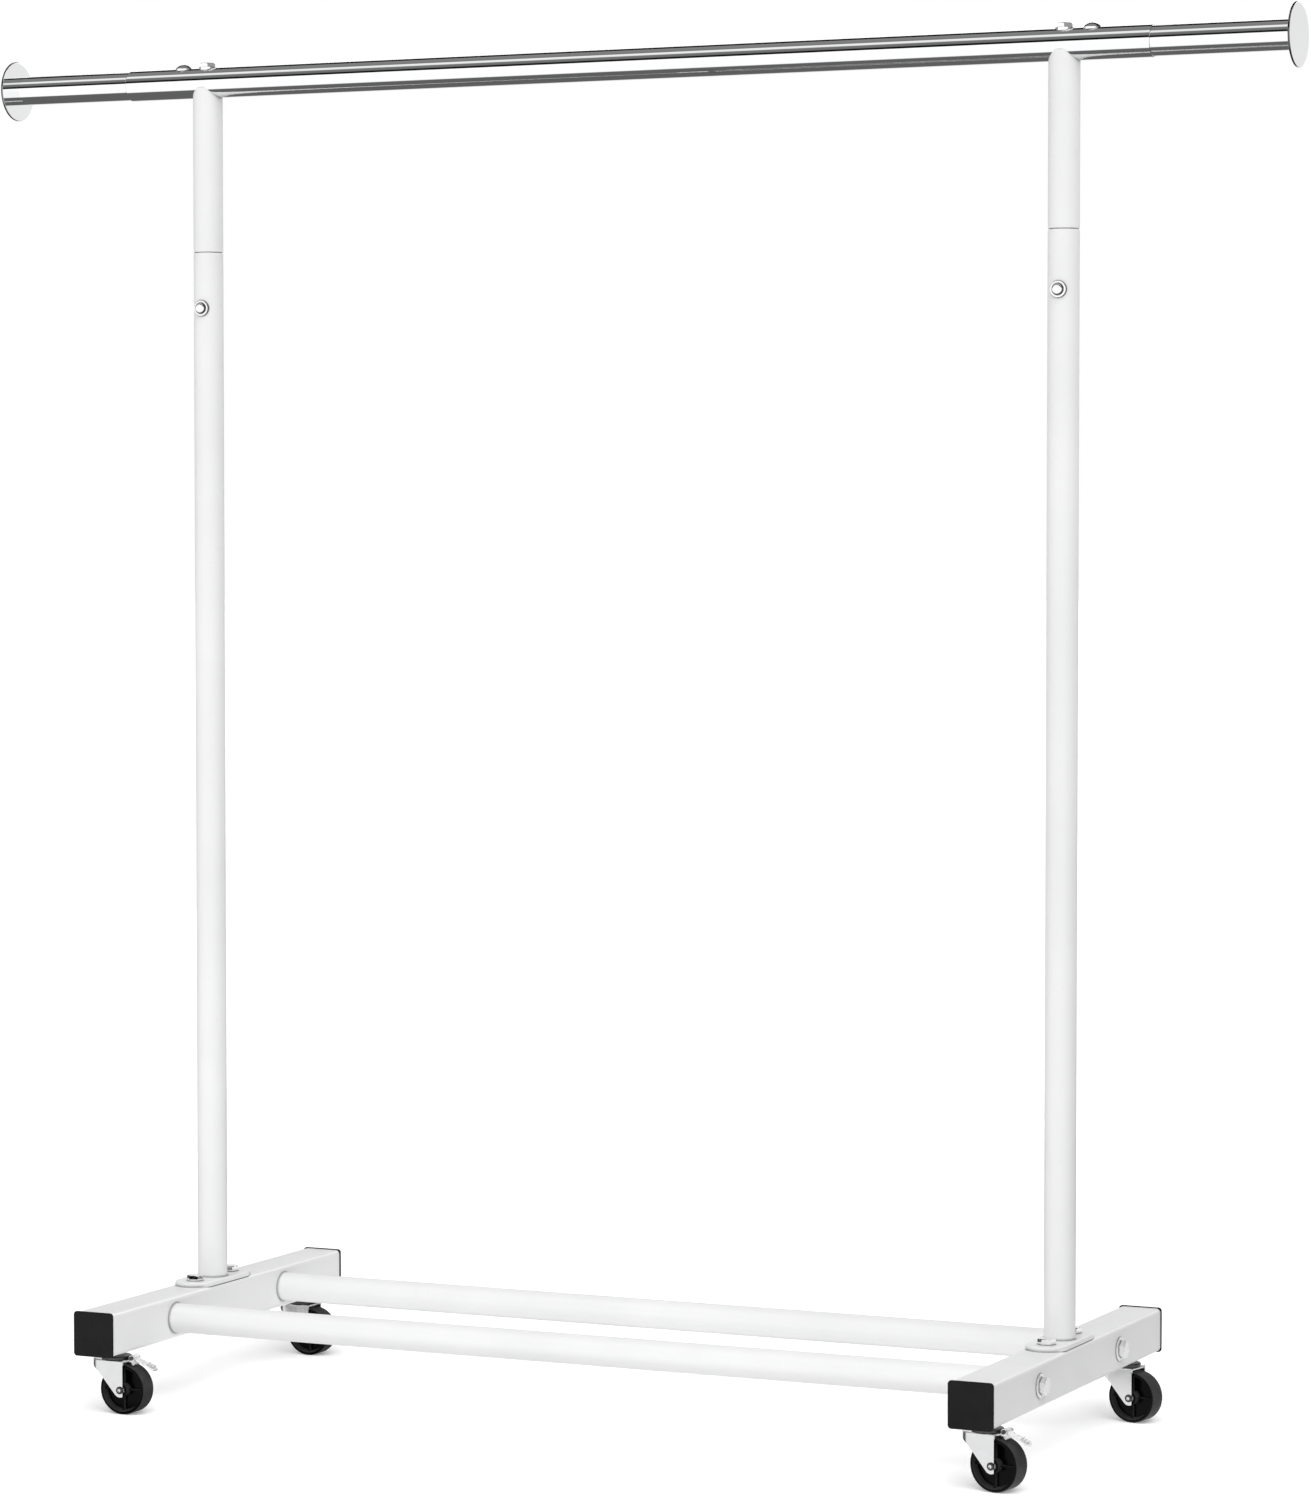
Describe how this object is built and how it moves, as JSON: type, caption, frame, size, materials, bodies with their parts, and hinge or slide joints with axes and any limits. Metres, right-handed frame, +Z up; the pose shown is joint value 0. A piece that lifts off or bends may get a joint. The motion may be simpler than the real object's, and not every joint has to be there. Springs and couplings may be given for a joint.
{
  "type": "rolling clothes rack",
  "caption": "Wheeled garment rack: round posts on square legs joined by crossbars, and a telescoping hanging tube with stop discs at its ends.",
  "frame": {"origin": "on the floor under the middle of the rack: the bottom centre of its bounding box, where the wheels touch", "axes": "+X along the hanging tube towards the right end, +Y towards the back, +Z up"},
  "size_m": [1.557, 0.53, 1.5342],
  "materials": {
    "white_paint": "smooth satin white powder coat",
    "chrome": "polished bright chrome plating",
    "zinc": "bright zinc plated pressed steel",
    "bolt_chrome": "bright plated bolt heads",
    "black_cap": "fine satin black moulded plastic",
    "black_wheel": "hard black moulded plastic, a little glossy",
    "raw_steel": "plain steel, hidden",
    "bush_steel": "ground steel sleeve"
  },
  "bodies": {
    "frame": {"leg_left": "white_paint", "flange_plate_left": "white_paint", "lower_post_left": "white_paint", "upper_post_left": "white_paint", "post_spigot_left": "raw_steel", "leg_cap_front_left": "black_cap", "leg_cap_rear_left": "black_cap", "leg_right": "white_paint", "flange_plate_right": "white_paint", "lower_post_right": "white_paint", "upper_post_right": "white_paint", "post_spigot_right": "raw_steel", "leg_cap_front_right": "black_cap", "leg_cap_rear_right": "black_cap", "crossbar_front": "white_paint", "crossbar_rear": "white_paint", "crossbar_plugs": "raw_steel", "crossbar_washers": "bolt_chrome", "crossbar_bolts": "bolt_chrome", "flange_bolts": "bolt_chrome", "flange_nuts": "raw_steel", "joint_screws": "bolt_chrome", "joint_rivet_nuts": "raw_steel", "post_top_inserts": "raw_steel", "hanging_tube": "chrome", "hanging_tube_bolts": "bolt_chrome", "hanging_tube_washers": "bolt_chrome", "extension_lock_screws": "bolt_chrome", "extension_lock_nuts": "raw_steel", "caster_nuts": "raw_steel", "caster_stems": "zinc", "bearing_balls": "bush_steel", "bearing_cup_front_left": "zinc", "bearing_cup_front_right": "zinc", "bearing_cup_rear_left": "zinc", "bearing_cup_rear_right": "zinc"},
    "extension_left": {"extension_rod_left": "chrome", "end_disc_left": "chrome"},
    "extension_right": {"extension_rod_right": "chrome", "end_disc_right": "chrome"},
    "caster_front_left": {"fork_front_left": "zinc", "axle_front_left": "zinc", "brake_pin_front_left": "zinc"},
    "wheel_front_left": {"wheel_front_left": "black_wheel", "wheel_bush_front_left": "bush_steel"},
    "brake_front_left": {"brake_lever_front_left": "zinc"},
    "caster_front_right": {"fork_front_right": "zinc", "axle_front_right": "zinc", "brake_pin_front_right": "zinc"},
    "wheel_front_right": {"wheel_front_right": "black_wheel", "wheel_bush_front_right": "bush_steel"},
    "brake_front_right": {"brake_lever_front_right": "zinc"},
    "caster_rear_left": {"fork_rear_left": "zinc", "axle_rear_left": "zinc"},
    "wheel_rear_left": {"wheel_rear_left": "black_wheel", "wheel_bush_rear_left": "bush_steel"},
    "caster_rear_right": {"fork_rear_right": "zinc", "axle_rear_right": "zinc"},
    "wheel_rear_right": {"wheel_rear_right": "black_wheel", "wheel_bush_rear_right": "bush_steel"}
  },
  "joints": [
    {"name": "extension_left_slide", "type": "slide", "parent": "frame", "child": "extension_left", "axis": [1, 0, 0], "range_m": [0, 0.09]},
    {"name": "extension_right_slide", "type": "slide", "parent": "frame", "child": "extension_right", "axis": [-1, 0, 0], "range_m": [0, 0.09]},
    {"name": "swivel_front_left", "type": "hinge", "parent": "frame", "child": "caster_front_left", "pos_m": [-0.521, -0.214, 0.061], "axis": [0, 0, 1], "continuous": true},
    {"name": "wheel_spin_front_left", "type": "hinge", "parent": "caster_front_left", "child": "wheel_front_left", "pos_m": [-0.508, -0.214, 0.028], "axis": [0, 1, 0], "continuous": true},
    {"name": "brake_front_left_press", "type": "hinge", "parent": "caster_front_left", "child": "brake_front_left", "pos_m": [-0.498, -0.214, 0.0633], "axis": [0, 1, 0], "range_deg": [0, 25]},
    {"name": "swivel_front_right", "type": "hinge", "parent": "frame", "child": "caster_front_right", "pos_m": [0.521, -0.214, 0.061], "axis": [0, 0, 1], "continuous": true},
    {"name": "wheel_spin_front_right", "type": "hinge", "parent": "caster_front_right", "child": "wheel_front_right", "pos_m": [0.5338, -0.21626, 0.028], "axis": [0.1736, 0.9848, 0], "continuous": true},
    {"name": "brake_front_right_press", "type": "hinge", "parent": "caster_front_right", "child": "brake_front_right", "pos_m": [0.54365, -0.21799, 0.0633], "axis": [0.1736, 0.9848, 0], "range_deg": [0, 25]},
    {"name": "swivel_rear_left", "type": "hinge", "parent": "frame", "child": "caster_rear_left", "pos_m": [-0.521, 0.214, 0.061], "axis": [0, 0, 1], "continuous": true},
    {"name": "wheel_spin_rear_left", "type": "hinge", "parent": "caster_rear_left", "child": "wheel_rear_left", "pos_m": [-0.508, 0.214, 0.028], "axis": [0, 1, 0], "continuous": true},
    {"name": "swivel_rear_right", "type": "hinge", "parent": "frame", "child": "caster_rear_right", "pos_m": [0.521, 0.214, 0.061], "axis": [0, 0, 1], "continuous": true},
    {"name": "wheel_spin_rear_right", "type": "hinge", "parent": "caster_rear_right", "child": "wheel_rear_right", "pos_m": [0.5338, 0.21174, 0.028], "axis": [0.1736, 0.9848, 0], "continuous": true}
  ]
}
